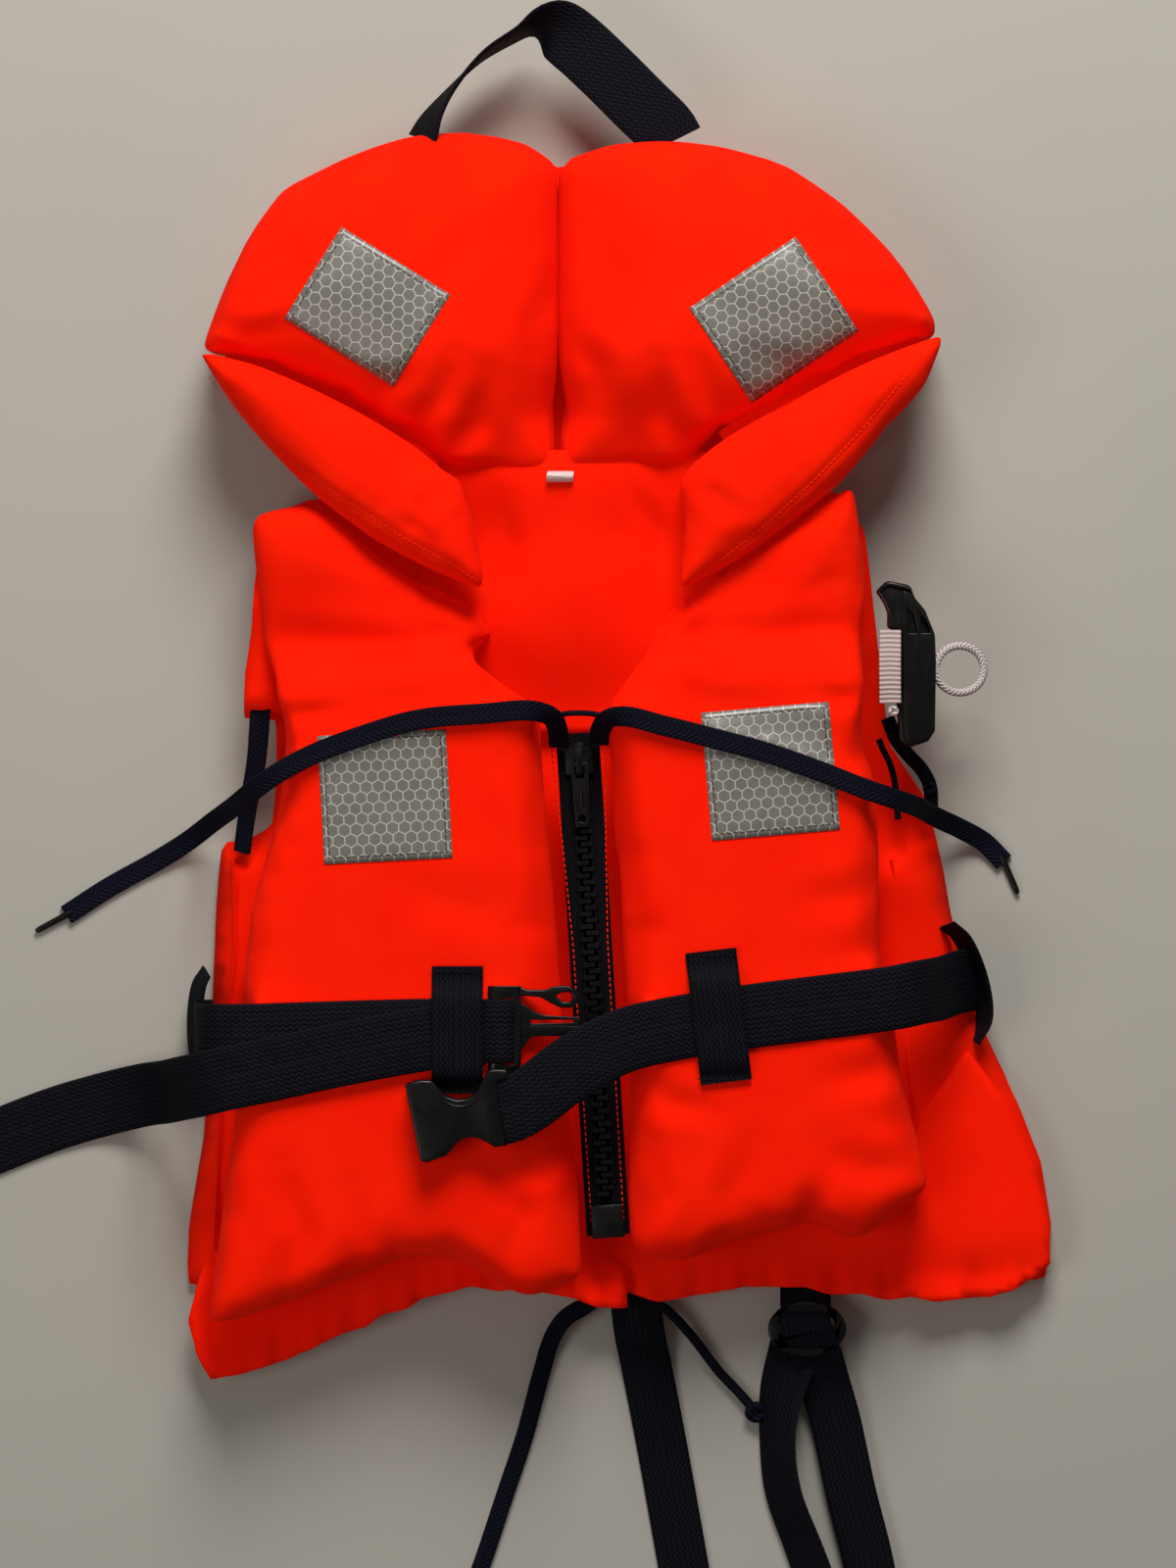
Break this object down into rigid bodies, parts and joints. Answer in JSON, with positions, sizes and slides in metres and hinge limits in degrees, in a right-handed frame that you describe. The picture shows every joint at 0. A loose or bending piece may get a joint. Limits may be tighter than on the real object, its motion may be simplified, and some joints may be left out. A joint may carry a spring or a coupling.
{
  "type": "life jacket",
  "caption": "Child's foam life jacket with zip front, folded-back head collar, waist belt with side-release buckle, whistle and crotch straps, lying on its back.",
  "frame": {"origin": "flat underside of the back panel, on the middle line of the body", "axes": "+Z out of the chest, +Y towards the head collar, +X to the right of a viewer who looks down on the chest"},
  "size_m": [0.4497, 0.6441, 0.0732],
  "materials": {
    "orange_fabric": "matte",
    "foam": "matte",
    "navy_webbing": "satin",
    "black_plastic": "satin",
    "reflective_patch": "satin",
    "label": "matte",
    "white_braid": "matte"
  },
  "bodies": {
    "jacket": {"back_panel": "orange_fabric", "belt_keeper_left": "navy_webbing", "belt_keeper_right": "navy_webbing", "belt_left": "navy_webbing", "belt_loop_left": "navy_webbing", "belt_loop_right": "navy_webbing", "belt_right": "navy_webbing", "belt_tail": "navy_webbing", "buckle_male": "black_plastic", "crotch_strap_free": "navy_webbing", "crotch_strap_left": "navy_webbing", "crotch_strap_right": "navy_webbing", "crotch_tri_glide": "black_plastic", "front_cover_left": "orange_fabric", "front_cover_right": "orange_fabric", "front_foam_left": "foam", "front_foam_right": "foam", "front_lining_left": "orange_fabric", "front_lining_right": "orange_fabric", "hem_cord_left": "navy_webbing", "hem_cord_right": "navy_webbing", "hem_skirt_left": "orange_fabric", "hem_skirt_right": "orange_fabric", "lace_tip_left": "black_plastic", "lace_tip_right": "black_plastic", "neck_lace_left": "navy_webbing", "neck_lace_right": "navy_webbing", "neck_lining": "orange_fabric", "patch_front_left": "reflective_patch", "patch_front_right": "reflective_patch", "side_cord_right": "navy_webbing", "side_lace_left": "navy_webbing", "side_panel_left": "orange_fabric", "side_panel_right": "orange_fabric", "whistle_holder": "white_braid", "zip_box": "black_plastic", "zip_tape_left": "navy_webbing", "zip_tape_right": "navy_webbing", "zip_teeth_left": "black_plastic", "zip_teeth_right": "black_plastic"},
    "collar": {"collar_back_cover": "orange_fabric", "collar_cover_left": "orange_fabric", "collar_cover_right": "orange_fabric", "collar_foam_left": "foam", "collar_foam_right": "foam", "collar_label": "label", "lapel_cover_left": "orange_fabric", "lapel_cover_right": "orange_fabric", "lapel_foam_left": "foam", "lapel_foam_right": "foam", "patch_collar_left": "reflective_patch", "patch_collar_right": "reflective_patch"},
    "handle": {"carry_handle": "navy_webbing"},
    "slider": {"zip_slider": "black_plastic"},
    "puller": {"zip_puller": "black_plastic"},
    "buckle_socket": {"buckle_female": "black_plastic"},
    "prong_a": {"buckle_prong_upper": "black_plastic"},
    "prong_b": {"buckle_prong_lower": "black_plastic"},
    "whistle_body": {"whistle": "black_plastic", "whistle_ring": "white_braid"}
  },
  "joints": [
    {"name": "collar_fold", "type": "hinge", "parent": "jacket", "child": "collar", "pos_m": [0, 0.074, 0.0585], "axis": [1, 0, 0], "range_deg": [0, 70]},
    {"name": "carry_handle_swing", "type": "hinge", "parent": "collar", "child": "handle", "pos_m": [0, 0.258, 0.02775], "axis": [1, 0, 0], "range_deg": [0, 80]},
    {"name": "zip_slide", "type": "slide", "parent": "jacket", "child": "slider", "axis": [0.0617, -0.9981, 0], "range_m": [0, 0.165]},
    {"name": "zip_puller_flip", "type": "hinge", "parent": "slider", "child": "puller", "pos_m": [-0.00341, 0.00747, 0.0374], "axis": [-0.9981, -0.0617, 0], "range_deg": [0, 120]},
    {"name": "buckle_socket_flip", "type": "hinge", "parent": "jacket", "child": "buckle_socket", "pos_m": [-0.0345, -0.1315, 0.0664], "axis": [-0.1392, 0.9903, 0], "range_deg": [0, 80]},
    {"name": "buckle_prong_a_squeeze", "type": "hinge", "parent": "jacket", "child": "prong_a", "pos_m": [-0.0245, -0.081, 0.0618], "axis": [0, 0, -1], "range_deg": [0, 7], "stiffness_Nm_per_rad": 0.05},
    {"name": "buckle_prong_b_squeeze", "type": "hinge", "parent": "jacket", "child": "prong_b", "pos_m": [-0.0245, -0.111, 0.0618], "axis": [0, 0, 1], "range_deg": [0, 7], "stiffness_Nm_per_rad": 0.05},
    {"name": "whistle_draw", "type": "slide", "parent": "jacket", "child": "whistle_body", "axis": [0, 1, 0], "range_m": [0, 0.03]}
  ]
}
